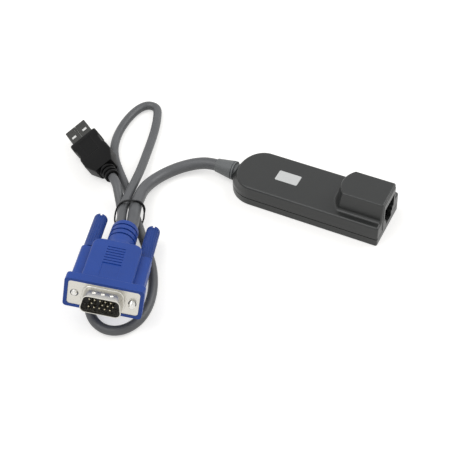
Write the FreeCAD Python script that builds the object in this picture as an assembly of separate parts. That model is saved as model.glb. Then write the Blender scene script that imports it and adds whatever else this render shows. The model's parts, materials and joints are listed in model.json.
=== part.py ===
import FreeCAD, Part
import math
import os

os.makedirs("parts", exist_ok=True)
V = FreeCAD.Vector
X_AXIS = V(1, 0, 0)
Y_AXIS = V(0, 1, 0)
Z_AXIS = V(0, 0, 1)

# All sizes are millimetres. The origin is under the middle of the housing, on the
# table; +X runs to the network socket, +Z is up.

# ---- housing, two moulded shells
END_X = 39.1             # plane of the socket end wall
NOSE_X = -39.8           # tip of the rounded cable end
HALF_WIDTH = 13.55
NOSE_LENGTH = 13.5       # plan length of the rounded end
END_CORNER_R = 0.9
LOWER_HEIGHT = 4.0
SHADOW_GAP = 0.4         # visible groove between the shells
LIP_HEIGHT = 2.0         # tongue of the lower shell behind the groove
UPRIGHT_TOP = 6.8        # the wall is upright to here, then leans in to the deck
DECK_Z = 11.3
DECK_LEAN = 0.25         # the deck is this much narrower, on each side
DECK_HALF_WIDTH = HALF_WIDTH - DECK_LEAN
DECK_NOSE_X = -36.8
DECK_EDGE_R = 1.1
FLOOR_EDGE_R = 0.6
WALL = 1.5
FIT = 0.1                # clearance of parts that slip together

# ---- tower over the network jack
TOWER_TOP = 21.6
TOWER_ROOT_Z = 8.0
TOWER_TOP_HALF = 8.15
TOWER_ROOT_HALF = 9.3
TOWER_TOP_LENGTH = 23.2  # from the end wall to the curved front, at the top
TOWER_TOP_BOW = 3.4      # the curved front stands this far out from the sides
TOWER_ROOT_LENGTH = 26.0
TOWER_ROOT_BOW = 3.8
TOWER_TOP_FRONT_X = END_X - TOWER_TOP_LENGTH
TOWER_TOP_SIDE_X = TOWER_TOP_FRONT_X + TOWER_TOP_BOW
TOWER_ROOT_FRONT_X = END_X - TOWER_ROOT_LENGTH
TOWER_ROOT_SIDE_X = TOWER_ROOT_FRONT_X + TOWER_ROOT_BOW
TOWER_CORNER_R = 1.1
TOWER_EDGE_R = 0.8
TOWER_FOOT_R = 1.5

# ---- badge recess on the deck
BADGE_X = -11.75
BADGE_LENGTH = 11.37
BADGE_WIDTH = 6.56
BADGE_R = 0.6
BADGE_THICK = 0.4
BADGE_PROUD = 0.2

# ---- circuit board and what stands on it
BOARD_BOTTOM = 2.6
BOARD_THICK = 1.4
BOARD_TOP = BOARD_BOTTOM + BOARD_THICK
BOARD_X0 = -29.0
BOARD_GAP = 0.6          # between the board and the end wall
BOARD_X1 = END_X - WALL - BOARD_GAP
BOARD_HALF = 10.6
BOARD_CHAMFER = 4.5
POST_R = 1.4
POST_PAD = 0.4           # the lower pads are this much bigger than the posts
POST_X = (-22.0, 14.0)
POST_IN = 5.15           # posts stand this far inside the housing's sides
CATCH_X = (-12.0, 18.0)
CATCH_HALF_LENGTH = 2.5
CATCH_HEIGHT = 0.6
CATCH_DEPTH = 0.35
CATCH_SLACK = 0.2
CHIP_BACK = 37.1         # the main chip's middle is this far from the end wall
CHIP_X = END_X - CHIP_BACK
CHIP_LENGTH = 12.0
CHIP_WIDTH = 10.0
CHIP_HEIGHT = 1.8
CHIP_LEAD_COUNT = 9
CHIP_LEAD_PITCH = 1.2
BUFFER_X = -14.0
BUFFER_LENGTH = 7.0
BUFFER_WIDTH = 5.0
BUFFER_HEIGHT = 1.6
BUFFER_LEAD_COUNT = 5
BUFFER_LEAD_PITCH = 1.27
LEAD_WIDTH = 0.4
LEAD_REACH = 1.0
LEAD_HEIGHT = 0.5
CHIP_STAND = 0.2         # moulded bodies stand this far off the board
CRYSTAL_X = -7.35
CRYSTAL_LENGTH = 10.8
CRYSTAL_WIDTH = 3.5
CRYSTAL_HEIGHT = 3.4
CRYSTAL_CORNER_R = 1.6
CAPACITOR_X = -15.0
CAPACITOR_LENGTH = 1.6
CAPACITOR_WIDTH = 0.8
CAPACITOR_PITCH = 5.2
CAPACITOR_COUNT = 5      # in each of the two rows
CAPACITOR_ROWS_Y = (-8.6, 8.0)
HEADER_X = -27.5
HEADER_LENGTH = 4.5
HEADER_HALF_WIDTH = 5.5
HEADER_HEIGHT = 4.6
HEADER_WALL = 0.8

# ---- network jack, eight contacts, latch side down
JACK_FACE_X = END_X - WALL
JACK_LENGTH = 15.6
JACK_HALF = 6.75
JACK_TOP = 18.3
PEG_R = 1.1
PEG_Y = 4.5
PEG_BACK = 6.0           # pegs stand this far behind the jack's face
PEG_PROUD = 0.3
FRAME_PROUD = 0.3        # raised frame round the mouth on the end wall
FRAME_HALF = 7.3
FRAME_TOP = 20.3
FRAME_R = 0.7
MOUTH_HALF = 5.85
MOUTH_TOP = 16.9
MOUTH_FLOOR = 9.9
SHOULDER_HALF = 4.4      # step beside the latch
SHOULDER_FLOOR = 8.2
LATCH_HALF = 3.05
LATCH_FLOOR = 5.2
MOUTH_DEPTH = 13.0
CONTACT_COUNT = 8
CONTACT_PITCH = 1.02
CONTACT_WIDTH = 0.4
CONTACT_SETBACK = 2.5    # the contacts fold down this far behind the face
CONTACT_FOLD_LENGTH = 7.5
CONTACT_FOLD_DROP = 3.6

# ---- cables
VIDEO_CABLE_R = 2.95
USB_CABLE_R = 2.2
CABLE_GRIP = 3.0         # length of cable held inside a strain relief
FLOOR_GAP = 0.06

# ---- strain relief on the housing
RELIEF_Z = 5.6
RELIEF_SMALL_R = 3.3
RELIEF_BIG_R = 4.7
RELIEF_TAPER = 9.1
RELIEF_NECK_R = 3.5
RELIEF_NECK = 0.4
RELIEF_GROOVE_R = 4.2    # bottom of the groove behind the taper
RELIEF_FLANGE_R = 4.7
RELIEF_FLANGE = 0.7
RELIEF_STEP = 0.7        # the flange inside the housing is this much smaller

# ---- video plug: x across, y from the flange towards the cable, z up
VIDEO_ORIGIN = V(-49.05, -106.5, 20.2)
VIDEO_YAW = 20.39
VIDEO_PITCH = -11.44
VIDEO_ROLL = 10.04
FLANGE_WIDTH = 30.8
FLANGE_HEIGHT = 12.5
FLANGE_R = 1.4
SHEET = 0.5
SCREW_SPACING = 25.0
FLANGE_HOLE_R = 1.8
SHROUD_WIDE = 18.7
SHROUD_HEIGHT = 9.2
SHROUD_SLOPE = 10.0
SHROUD_R = 2.6
SHROUD_DEPTH = 5.9
SHROUD_WALL = 0.4
FLARE = 0.8
FLARE_DEPTH = 0.6
DIMPLE_R = 1.3
DIMPLE_RISE = 0.35
DIMPLE_PITCH = 3.8
DIMPLE_Y = -2.9
PIN_R = 0.38
PIN_PITCH = 2.29
ROW_PITCH = 1.98
PIN_TIP_Y = -4.9
PIN_TAIL_Y = 9.0
PIN_ROW_COUNT = 5
HOOD_HALF_WIDTH = 17.1
HOOD_HALF_HEIGHT = 7.7
HOOD_RIM = 0.25          # the hood stands this far in front of the flange
HOOD_BAND = 4.4
HOOD_CORNER_R = 1.6
BODY_HALF_WIDTH = 11.0
BODY_HALF_HEIGHT = 7.35
BODY_END_Y = 31.5
BODY_CORNER_R = 4.2
CHANNEL_OUT = 3.4        # side channel beyond the screw axis
CHANNEL_HALF_HEIGHT = 4.6
CHANNEL_END_Y = 27.4
CHANNEL_R = 1.7
COLLAR_R = 3.5
COLLAR_PROUD = 0.6       # the collar stands this far behind its channel
COLLAR_END_Y = CHANNEL_END_Y + COLLAR_PROUD
GRIP_COUNT = 7
GRIP_PITCH = 1.89
GRIP_START_Y = 14.8
GRIP_HALF = 4.1
GRIP_WIDTH = 0.55
GRIP_DEPTH = 0.4
PANEL_START_Y = 5.8
PANEL_DEPTH = 0.3
TAIL_ROOT_R = 7.2
TAIL_R = 6.6
TAIL_START_Y = 34.0
TAIL_TIP_R = 6.3
TAIL_END_Y = 49.5
TAIL_GROOVES_Y = (38.8, 42.4, 46.0)
TAIL_GROOVE_WIDTH = 1.0
TAIL_GROOVE_DEPTH = 0.9
VIDEO_EXIT_X = 2.4
USB_EXIT_X = -3.2

# ---- thumbscrews of the video plug
SHANK_R = 1.5
SHANK_CLEARANCE = 0.06
THREAD_R = 1.4
THREAD_LENGTH = 6.0
SCREW_LENGTH = 55.6
KNOB_R = 3.2
KNOB_LENGTH = 24.9
KNOB_NECK_R = 2.6
KNOB_NECK = 2.4          # plain neck that dips into the collar
KNOB_GAP = 0.3           # all round the neck, and beside the knob
KNOB_RIBS = 18
KNOB_GROOVE_R = 0.32
KNOB_PLAIN_END = 1.8
KNOB_SLOT = 1.0
KNOB_SLOT_DEPTH = 1.5
SHANK_IN_KNOB = 14.0
KNOB_START_Y = COLLAR_END_Y + KNOB_GAP    # ribbed part of the screw run forward
RIGHT_TIP_Y = KNOB_START_Y + KNOB_LENGTH - SCREW_LENGTH
SCREW_BACK = 1.6         # the left screw is run back by this much
LEFT_TIP_Y = RIGHT_TIP_Y + SCREW_BACK

# ---- usb plug: x across, y from the mouth towards the cable, z up, seam side up
USB_ORIGIN = V(-127.4, -6.18, 5.8)
USB_YAW = -124.66
USB_PITCH = 4.53
USB_ROLL = 22.9
USB_WIDTH = 12.0
USB_HEIGHT = 4.5
USB_SHEET = 0.3
USB_SHELL_LENGTH = 19.0
WINDOW_Y = 6.2
WINDOW_X = 3.3
WINDOW_WIDTH = 2.5
WINDOW_LENGTH = 2.0
SEAM = 0.12
SEAM_LOCK_Y = 2.6        # dovetail that locks the two edges of the folded sheet
SEAM_LOCK_REACH = 1.1
SEAM_NECK = 0.9
SEAM_HEAD = 1.5
MOULD_START_Y = 11.9
MOULD_WIDTH = 15.6
MOULD_HEIGHT = 7.9
MOULD_SHOULDER_Y = 31.0
MOULD_END_Y = 38.2
MOULD_END_WIDTH = 9.6
MOULD_END_HEIGHT = 7.2
MOULD_R = 1.1
USB_RING_R = 3.9
USB_RING_STEP = 0.2
USB_RING_COUNT = 3
USB_RING_PITCH = 2.3
USB_RING_WIDTH = 1.5
USB_CORE_R = 2.9
USB_END_Y = 45.0
TONGUE_THICK = 1.85
TONGUE_START_Y = 0.6
TONGUE_END_Y = 16.0
USB_PAD_X = (-3.5, -1.0, 1.0, 3.5)
USB_PAD_WIDTH = 1.0
USB_PAD_THICK = 0.2

# ---- cable tie
TIE_CENTRE = V(-72.1, -46.6, 6.65)
TIE_HALF_WIDTH = 7.4
TIE_HALF_HEIGHT = 6.5
TIE_CORNER = 3.9
TIE_TURN = 10.0
TIE_LEAN = 24.0
TIE_R = 0.6

# Route of the video cable between the two strain reliefs. Its two ends are added
# from the reliefs' own places.
VIDEO_LEAD = 3.2          # straight cable in front of the housing's relief
VIDEO_ROUTE = [
    (-60.0, -2.2, 4.7),
    (-66.5, -7.4, 4.0),
    (-71.3, -14.2, 3.8),
    (-74.1, -22.2, 4.5),
    (-74.3, -30.6, 6.2),
    (-72.2, -38.2, 8.0),
    (-69.6, -46.2, 9.2),
]

# Route of the usb cable: over the tie, round the far loop, back through the tie,
# round the near loop, under the video plug, through the tie and to the usb plug.
USB_ROUTE = [
    (-75.5, -47.2, 8.8),
    (-78.0, -38.0, 8.0),
    (-80.6, -27.2, 6.3),
    (-83.5, -16.4, 4.7),
    (-87.1, -4.6, 3.5),
    (-90.3, 6.2, 2.7),
    (-93.6, 16.0, 2.4),
    (-97.2, 24.4, 2.3),
    (-100.3, 29.3, 2.3),
    (-105.8, 29.3, 2.3),
    (-109.0, 24.2, 2.3),
    (-110.0, 14.6, 2.3),
    (-108.9, 3.8, 2.3),
    (-105.7, -6.2, 2.3),
    (-100.2, -14.5, 2.3),
    (-92.8, -22.0, 2.3),
    (-84.9, -29.5, 2.3),
    (-77.4, -37.3, 2.4),
    (-70.7, -45.1, 3.7),
    (-64.0, -52.4, 3.7),
    (-55.6, -60.8, 2.4),
    (-47.4, -69.8, 2.3),
    (-41.2, -80.2, 2.3),
    (-37.9, -90.2, 2.3),
    (-37.7, -99.4, 2.3),
    (-41.6, -106.8, 2.3),
    (-48.4, -109.8, 2.3),
    (-55.8, -107.8, 2.3),
    (-61.8, -102.2, 2.3),
    (-65.2, -93.8, 2.3),
    (-66.5, -84.4, 2.3),
    (-67.2, -74.8, 2.3),
    (-68.8, -65.4, 2.3),
    (-71.6, -56.8, 2.7),
    (-75.2, -49.8, 3.6),
    (-79.0, -44.0, 4.3),
    (-83.3, -38.6, 7.1),
]


# ================================================================= general helpers
def placed(shape, origin, yaw, pitch, roll):
    """Move a shape from a plug's own axes to the common frame."""
    turn = FreeCAD.Rotation(Z_AXIS, yaw)
    turn = turn.multiply(FreeCAD.Rotation(X_AXIS, pitch))
    turn = turn.multiply(FreeCAD.Rotation(Y_AXIS, roll))
    moved = shape.copy()
    moved.Placement = FreeCAD.Placement(origin, turn)
    return moved


def place_point(point, origin, yaw, pitch, roll):
    """Move one point from a plug's own axes to the common frame."""
    turn = FreeCAD.Rotation(Z_AXIS, yaw)
    turn = turn.multiply(FreeCAD.Rotation(X_AXIS, pitch))
    turn = turn.multiply(FreeCAD.Rotation(Y_AXIS, roll))
    return origin.add(turn.multVec(point))


def box(x0, x1, y0, y1, z0, z1):
    """A block between two corners."""
    return Part.makeBox(x1 - x0, y1 - y0, z1 - z0, V(x0, y0, z0))


def rod(radius, start, axis, length):
    """A cylinder from a start point along an axis."""
    return Part.makeCylinder(radius, length, start, axis)


def edges_along(shape, axis):
    """Straight edges parallel to an axis."""
    found = []
    for edge in shape.Edges:
        if len(edge.Vertexes) < 2:
            continue
        run = edge.Vertexes[1].Point.sub(edge.Vertexes[0].Point)
        if run.Length < 1e-6:
            continue
        if abs(abs(run.normalize().dot(axis)) - 1.0) < 1e-6:
            found.append(edge)
    return found


def edges_in_plane(shape, axis, level):
    """Edges that lie wholly in the plane at a level along an axis."""
    found = []
    for edge in shape.Edges:
        bounds = edge.BoundBox
        low = V(bounds.XMin, bounds.YMin, bounds.ZMin).dot(axis)
        high = V(bounds.XMax, bounds.YMax, bounds.ZMax).dot(axis)
        if abs(low - level) < 1e-4 and abs(high - level) < 1e-4:
            found.append(edge)
    return found


def fused(shapes):
    """Join shapes into one and merge faces that run on."""
    first = shapes[0]
    return first.fuse(shapes[1:]).removeSplitter()


def less(shape, cutters):
    """Cut every cutter out of a shape."""
    return shape.cut(cutters[0].fuse(cutters[1:]) if len(cutters) > 1 else cutters[0])


def save(node, shape):
    """Write one node, and say what it holds."""
    solids = shape.Solids
    whole = solids[0] if len(solids) == 1 else Part.makeCompound(solids)
    whole.exportStep("parts/" + node + ".step")
    print("%-24s solids %2d volume %9.2f" % (node, len(solids), whole.Volume))


# ================================================================= housing outlines
def housing_plan(inset, z, half_width=HALF_WIDTH, nose_x=NOSE_X):
    """Closed outline: square socket end, rounded cable end."""
    end_x = END_X - inset
    half = half_width - inset
    tip = nose_x + inset
    corner = max(END_CORNER_R - inset, 0.3)
    turn_x = NOSE_X + NOSE_LENGTH
    k = corner * (1.0 - math.sqrt(0.5))
    a = V(end_x - corner, -half, z)
    b = V(end_x, -half + corner, z)
    c = V(end_x, half - corner, z)
    d = V(end_x - corner, half, z)
    e = V(turn_x, half, z)
    f = V(turn_x, -half, z)
    edges = [
        Part.Arc(a, V(end_x - k, -half + k, z), b).toShape(),
        Part.makeLine(b, c),
        Part.Arc(c, V(end_x - k, half - k, z), d).toShape(),
        Part.makeLine(d, e),
        rounded_end(V(turn_x, 0, z), e, V(tip, 0, z)),
        Part.makeLine(f, a),
    ]
    return Part.Wire(edges)


def rounded_end(middle, side, tip):
    """Half ellipse from a side point round the tip to the other side."""
    half = side.sub(middle).Length
    reach = tip.sub(middle).Length
    if half >= reach:
        return Part.ArcOfEllipse(Part.Ellipse(side, tip, middle), 0, math.pi).toShape()
    whole = Part.Ellipse(tip, side, middle)
    return Part.ArcOfEllipse(whole, -math.pi / 2.0, math.pi / 2.0).toShape()


def plan_block(inset, z0, z1):
    """Upright block on the housing outline."""
    return Part.Face(housing_plan(inset, z0)).extrude(V(0, 0, z1 - z0))


def tower_plan(z, half, side_x, front_x, end_x):
    """Outline of the tower: flat end, curved front."""
    a = V(end_x, -half, z)
    b = V(end_x, half, z)
    c = V(side_x, half, z)
    d = V(side_x, -half, z)
    edges = [
        Part.makeLine(a, b),
        Part.makeLine(b, c),
        Part.Arc(c, V(front_x, 0, z), d).toShape(),
        Part.makeLine(d, a),
    ]
    return Part.Wire(edges)


def tower_block(inset):
    """The tower, its walls leaning in towards the top."""
    root = tower_plan(TOWER_ROOT_Z, TOWER_ROOT_HALF - inset, TOWER_ROOT_SIDE_X + inset,
                      TOWER_ROOT_FRONT_X + inset, END_X - inset)
    top = tower_plan(TOWER_TOP - inset, TOWER_TOP_HALF - inset, TOWER_TOP_SIDE_X + inset,
                     TOWER_TOP_FRONT_X + inset, END_X - inset)
    return Part.makeLoft([root, top], True, True)


def deck_block(inset):
    """The low part of the upper shell above the groove, sides leaning in."""
    seat = LOWER_HEIGHT + SHADOW_GAP
    upright = plan_block(inset, seat, UPRIGHT_TOP)
    low = housing_plan(inset, UPRIGHT_TOP)
    high = housing_plan(inset, DECK_Z - inset, DECK_HALF_WIDTH, DECK_NOSE_X)
    return upright, Part.makeLoft([low, high], True, True)


def mouth_cutter(x0, x1, grow):
    """The socket's stepped hollow: wide above, latch slot below."""
    wide = box(x0, x1, -MOUTH_HALF - grow, MOUTH_HALF + grow, MOUTH_FLOOR - grow, MOUTH_TOP + grow)
    step = box(x0, x1, -SHOULDER_HALF - grow, SHOULDER_HALF + grow,
               SHOULDER_FLOOR - grow, MOUTH_TOP)
    latch = box(x0, x1, -LATCH_HALF - grow, LATCH_HALF + grow, LATCH_FLOOR - grow, MOUTH_TOP)
    return fused([wide, step, latch])


def relief_hole():
    """Hole through the nose for the strain relief's neck."""
    return rod(RELIEF_NECK_R + FIT, V(NOSE_X - 2.0, 0, RELIEF_Z), X_AXIS, 2.0 * WALL + 4.0)


# ================================================================= housing pieces
def lower_shell():
    """Tray with a thin tongue that stands into the upper shell."""
    outer = plan_block(0.0, 0.0, LOWER_HEIGHT)
    outer = outer.makeFillet(FLOOR_EDGE_R, edges_in_plane(outer, Z_AXIS, 0.0))
    tongue = plan_block(WALL / 2.0 + FIT, LOWER_HEIGHT - 0.5, LOWER_HEIGHT + LIP_HEIGHT)
    shell = outer.fuse(tongue)
    shell = shell.cut(plan_block(WALL, WALL, LOWER_HEIGHT + LIP_HEIGHT + 1.0))
    pads = []
    for x in POST_X:
        for side in (-1, 1):
            post_y = side * (HALF_WIDTH - POST_IN)
            pads.append(rod(POST_R + POST_PAD, V(x, post_y, WALL / 2.0), Z_AXIS,
                            BOARD_BOTTOM - WALL / 2.0))
    shell = shell.fuse(pads)
    mouth = box(END_X - WALL - 1.0, END_X + 1.0, -LATCH_HALF - FIT, LATCH_HALF + FIT,
                LATCH_FLOOR - FIT, LOWER_HEIGHT + LIP_HEIGHT + 1.0)
    shell = less(shell, [relief_hole(), mouth])
    shell = shell.fuse(catches(FIT, 0.0))
    return shell.removeSplitter()


def catches(back, slack):
    """Snap ridges on the lower shell's tongue, or the notches that take them."""
    blocks = []
    low = LOWER_HEIGHT + LIP_HEIGHT / 2.0 - slack
    for side in (-1, 1):
        y = side * (HALF_WIDTH - WALL / 2.0 - back)
        reach = y + side * CATCH_DEPTH
        for x in CATCH_X:
            blocks.append(box(x - CATCH_HALF_LENGTH - slack, x + CATCH_HALF_LENGTH + slack,
                              min(y, reach), max(y, reach), low,
                              low + CATCH_HEIGHT + 2.0 * slack))
    return blocks


def upper_shell():
    """Deck, jack tower, raised frame and inside posts in one moulding."""
    upright, lean = deck_block(0.0)
    deck = upright.fuse(lean).removeSplitter()
    deck = deck.makeFillet(DECK_EDGE_R, edges_in_plane(deck, Z_AXIS, DECK_Z))
    tower = tower_block(0.0)
    upright_edges = [e for e in tower.Edges
                     if abs(e.Vertexes[0].Z - e.Vertexes[-1].Z) > 5.0]
    tower = tower.makeFillet(TOWER_CORNER_R, upright_edges)
    tower = tower.makeFillet(TOWER_EDGE_R, edges_in_plane(tower, Z_AXIS, TOWER_TOP))
    shell = deck.fuse(tower).removeSplitter()
    foot = foot_edges(shell)
    try:
        shell = shell.makeFillet(TOWER_FOOT_R, foot)
    except Exception as reason:
        print("tower foot left sharp:", reason)
    frame = box(END_X - 0.5, END_X + FRAME_PROUD, -FRAME_HALF, FRAME_HALF,
                LOWER_HEIGHT + SHADOW_GAP + 0.15, FRAME_TOP)
    rims = edges_along(frame, X_AXIS) + edges_in_plane(frame, X_AXIS, END_X + FRAME_PROUD)
    frame = frame.makeFillet(FRAME_R / 2.0, rims)
    shell = shell.fuse(frame)
    inner_upright, inner_lean = deck_block(WALL)
    cutters = [inner_upright, inner_lean, tower_block(WALL),
               plan_block(WALL / 2.0, LOWER_HEIGHT, LOWER_HEIGHT + LIP_HEIGHT),
               mouth_cutter(END_X - WALL - 1.0, END_X + 2.0, FIT), relief_hole(),
               badge_block(DECK_Z - BADGE_THICK + BADGE_PROUD, DECK_Z + 1.0)]
    cutters += catches(0.0, CATCH_SLACK)
    shell = less(shell, cutters)
    posts = []
    for x in POST_X:
        for side in (-1, 1):
            post_y = side * (HALF_WIDTH - POST_IN)
            posts.append(rod(POST_R, V(x, post_y, BOARD_TOP), Z_AXIS,
                             DECK_Z - WALL / 2.0 - BOARD_TOP))
    return shell.fuse(posts).removeSplitter()


def foot_edges(shell):
    """Edges where the tower rises from the deck."""
    found = []
    for edge in edges_in_plane(shell, Z_AXIS, DECK_Z):
        middle = edge.CenterOfMass
        on_side = abs(middle.y) < TOWER_ROOT_HALF and middle.x > TOWER_ROOT_FRONT_X - 0.5
        if on_side and edge.BoundBox.XMin > TOWER_ROOT_FRONT_X - 0.5:
            found.append(edge)
    return found


def badge_block(z0, z1):
    """The bare name plate, or the recess it sits in."""
    plate = box(BADGE_X - BADGE_LENGTH / 2.0, BADGE_X + BADGE_LENGTH / 2.0,
                -BADGE_WIDTH / 2.0 + 0.4, BADGE_WIDTH / 2.0 + 0.4, z0, z1)
    return plate.makeFillet(BADGE_R, edges_along(plate, Z_AXIS))


def circuit_board():
    """Board with two cut corners and two holes for the jack's pegs."""
    board = box(BOARD_X0, BOARD_X1, -BOARD_HALF, BOARD_HALF, BOARD_BOTTOM, BOARD_TOP)
    ends = [e for e in edges_along(board, Z_AXIS) if e.Vertexes[0].X < 0]
    board = board.makeChamfer(BOARD_CHAMFER, ends)
    return less(board, jack_pegs(FIT, BOARD_BOTTOM - 1.0, BOARD_TOP + 1.0))


def jack_pegs(grow, z0, z1):
    """The two pegs that hold the jack to the board, or the holes that take them."""
    pegs = []
    for side in (-1, 1):
        foot = V(JACK_FACE_X - PEG_BACK, side * PEG_Y, z0)
        pegs.append(rod(PEG_R + grow, foot, Z_AXIS, z1 - z0))
    return pegs


def network_jack():
    """Jack body with its stepped mouth and two pegs through the board."""
    back_x = JACK_FACE_X - JACK_LENGTH
    body = box(back_x, JACK_FACE_X, -JACK_HALF, JACK_HALF, BOARD_TOP, JACK_TOP)
    body = less(body, [mouth_cutter(JACK_FACE_X - MOUTH_DEPTH, JACK_FACE_X + 1.0, 0.0)])
    body = body.fuse(jack_pegs(0.0, BOARD_BOTTOM - PEG_PROUD, BOARD_TOP + PEG_PROUD))
    return less(body, [contact_wire(i, 0.0) for i in range(CONTACT_COUNT)])


def contact_wire(index, grow):
    """One spring contact: up the back, along the top, folded down into the mouth."""
    y = (index - (CONTACT_COUNT - 1) / 2.0) * CONTACT_PITCH
    half = CONTACT_WIDTH / 2.0 + grow
    thick = CONTACT_WIDTH
    back_x = JACK_FACE_X - JACK_LENGTH + 2.0 * thick
    top_z = MOUTH_TOP + thick
    front_x = JACK_FACE_X - CONTACT_SETBACK
    upright = box(back_x, back_x + thick, y - half, y + half, BOARD_TOP, top_z)
    along = box(back_x, front_x, y - half, y + half, top_z - thick, top_z)
    tip = V(front_x, y - half, top_z)
    low_x = front_x - CONTACT_FOLD_LENGTH
    low_z = MOUTH_TOP - CONTACT_FOLD_DROP
    corners = [tip, tip.add(V(0, 0, -2.0 * thick)), V(low_x, y - half, low_z),
               V(low_x, y - half, low_z + thick), tip.add(V(-1.5 * thick, 0, -thick)),
               tip.add(V(-1.5 * thick, 0, 0)), tip]
    fold = Part.Face(Part.makePolygon(corners)).extrude(V(0, 2.0 * half, 0))
    return fused([upright, along, fold])


def chip(x, length, width, height, lead_count, lead_pitch):
    """A moulded chip with leads on its two long sides."""
    pieces = [box(x - length / 2.0, x + length / 2.0, -width / 2.0, width / 2.0,
                  BOARD_TOP + CHIP_STAND, BOARD_TOP + height)]
    reach = width / 2.0 + LEAD_REACH
    for i in range(lead_count):
        lead_x = x + (i - (lead_count - 1) / 2.0) * lead_pitch
        pieces.append(box(lead_x - LEAD_WIDTH / 2.0, lead_x + LEAD_WIDTH / 2.0, -reach, reach,
                          BOARD_TOP, BOARD_TOP + LEAD_HEIGHT))
    return fused(pieces)


def capacitors():
    """Small block capacitors in a row along each side of the board."""
    blocks = []
    for i in range(CAPACITOR_COUNT):
        x = CAPACITOR_X + i * CAPACITOR_PITCH
        for y in CAPACITOR_ROWS_Y:
            blocks.append(box(x, x + CAPACITOR_LENGTH, y, y + CAPACITOR_WIDTH,
                              BOARD_TOP, BOARD_TOP + CAPACITOR_WIDTH))
    return Part.makeCompound(blocks)


def crystal():
    """Low steel can with round ends."""
    can = box(CRYSTAL_X - CRYSTAL_WIDTH / 2.0, CRYSTAL_X + CRYSTAL_WIDTH / 2.0,
              -CRYSTAL_LENGTH / 2.0, CRYSTAL_LENGTH / 2.0,
              BOARD_TOP, BOARD_TOP + CRYSTAL_HEIGHT)
    return can.makeFillet(CRYSTAL_CORNER_R, edges_along(can, Z_AXIS))


def wire_header():
    """White header, open towards the cable, that the cable's cores plug into."""
    end_x = HEADER_X + HEADER_LENGTH
    body = box(HEADER_X, end_x, -HEADER_HALF_WIDTH, HEADER_HALF_WIDTH,
               BOARD_TOP, BOARD_TOP + HEADER_HEIGHT)
    inner_half = HEADER_HALF_WIDTH - HEADER_WALL
    hollow = box(HEADER_X - 1.0, end_x - HEADER_WALL, -inner_half, inner_half,
                 BOARD_TOP + HEADER_WALL, BOARD_TOP + HEADER_HEIGHT - HEADER_WALL)
    return less(body, [hollow])


def housing_relief():
    """Tapered sleeve, thin neck, flange outside and half flange inside."""
    axis_at = lambda x: V(x, 0, RELIEF_Z)
    flange_x = NOSE_X - RELIEF_FLANGE
    cone_x = flange_x - RELIEF_NECK
    cone = Part.makeCone(RELIEF_BIG_R, RELIEF_SMALL_R, RELIEF_TAPER, axis_at(cone_x),
                         V(-1, 0, 0))
    cone = cone.makeFillet(0.5, edges_in_plane(cone, X_AXIS, cone_x - RELIEF_TAPER))
    neck = rod(RELIEF_NECK_R, axis_at(cone_x - FIT), X_AXIS,
               RELIEF_NECK + RELIEF_FLANGE + WALL + RELIEF_FLANGE + 2.0 * FIT)
    groove = rod(RELIEF_GROOVE_R, axis_at(cone_x - FIT), X_AXIS, RELIEF_NECK + 2.0 * FIT)
    flange = rod(RELIEF_FLANGE_R, axis_at(flange_x), X_AXIS, RELIEF_FLANGE)
    inner = rod(RELIEF_FLANGE_R - RELIEF_STEP, axis_at(NOSE_X + WALL + FIT), X_AXIS,
                RELIEF_FLANGE)
    inner = inner.common(plan_block(WALL + FIT, WALL + FIT, UPRIGHT_TOP - FIT))
    body = fused([cone, neck, groove, flange, inner])
    end_x = cone_x - RELIEF_TAPER
    held = rod(VIDEO_CABLE_R, axis_at(end_x - 1.0), X_AXIS, CABLE_GRIP + 1.0)
    return less(body, [held]), end_x


# ================================================================= cables
def route_wire(points, name):
    """Straight runs joined by tangent arcs."""
    edges = []
    last = points[0]
    radii = []
    for i in range(1, len(points) - 1):
        before = points[i].sub(points[i - 1])
        after = points[i + 1].sub(points[i])
        run = min(before.Length, after.Length)
        into = V(before).normalize()
        out = V(after).normalize()
        turn = math.acos(max(-1.0, min(1.0, into.dot(out))))
        reach = 0.45 * run
        radius = reach / math.tan(turn / 2.0)
        radii.append(radius)
        start = points[i].sub(into.multiply(reach))
        end = points[i].add(out.multiply(reach))
        middle_way = start.add(end).multiply(0.5).sub(points[i])
        far = radius / math.cos(turn / 2.0) - radius
        middle = points[i].add(middle_way.normalize().multiply(far))
        edges.append(Part.LineSegment(last, start).toShape())
        edges.append(Part.Arc(start, middle, end).toShape())
        last = end
    edges.append(Part.LineSegment(last, points[-1]).toShape())
    print(name, "bend radii", " ".join("%.1f" % r for r in radii))
    return Part.Wire(edges)


def tube(points, radius, name):
    """A round cable along a route, checked against section times length."""
    wire = route_wire(points, name)
    start = points[0]
    aim = V(points[1].sub(points[0])).normalize()
    ring = Part.Wire([Part.Circle(start, aim, radius).toShape()])
    body = wire.makePipeShell([ring], True, False)
    wanted = math.pi * radius * radius * wire.Length
    print(name, "length %.1f volume %.1f of %.1f" % (wire.Length, body.Volume, wanted))
    return body


def video_cable(relief_end_x):
    """The thick cable from the housing to the video plug."""
    points = [V(relief_end_x + CABLE_GRIP, 0, RELIEF_Z),
              V(relief_end_x - VIDEO_LEAD, 0, RELIEF_Z)]
    points += [V(*p) for p in VIDEO_ROUTE]
    points.append(video_point(V(VIDEO_EXIT_X, TAIL_END_Y + 6.2, 0)))
    points.append(video_point(V(VIDEO_EXIT_X, TAIL_END_Y - CABLE_GRIP, 0)))
    print_points("video route", points)
    return tube(points, VIDEO_CABLE_R, "video_cable")


def usb_cable():
    """The thin cable from the video plug, round both loops, to the usb plug."""
    points = [video_point(V(USB_EXIT_X, TAIL_END_Y - CABLE_GRIP, 0)),
              video_point(V(USB_EXIT_X, TAIL_END_Y + 6.0, 0))]
    points += [V(*p) for p in USB_ROUTE]
    points.append(usb_point(V(0, USB_END_Y + 4.4, 0)))
    points.append(usb_point(V(0, USB_END_Y - CABLE_GRIP, 0)))
    print_points("usb route", points)
    return tube(points, USB_CABLE_R, "usb_cable")


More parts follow.
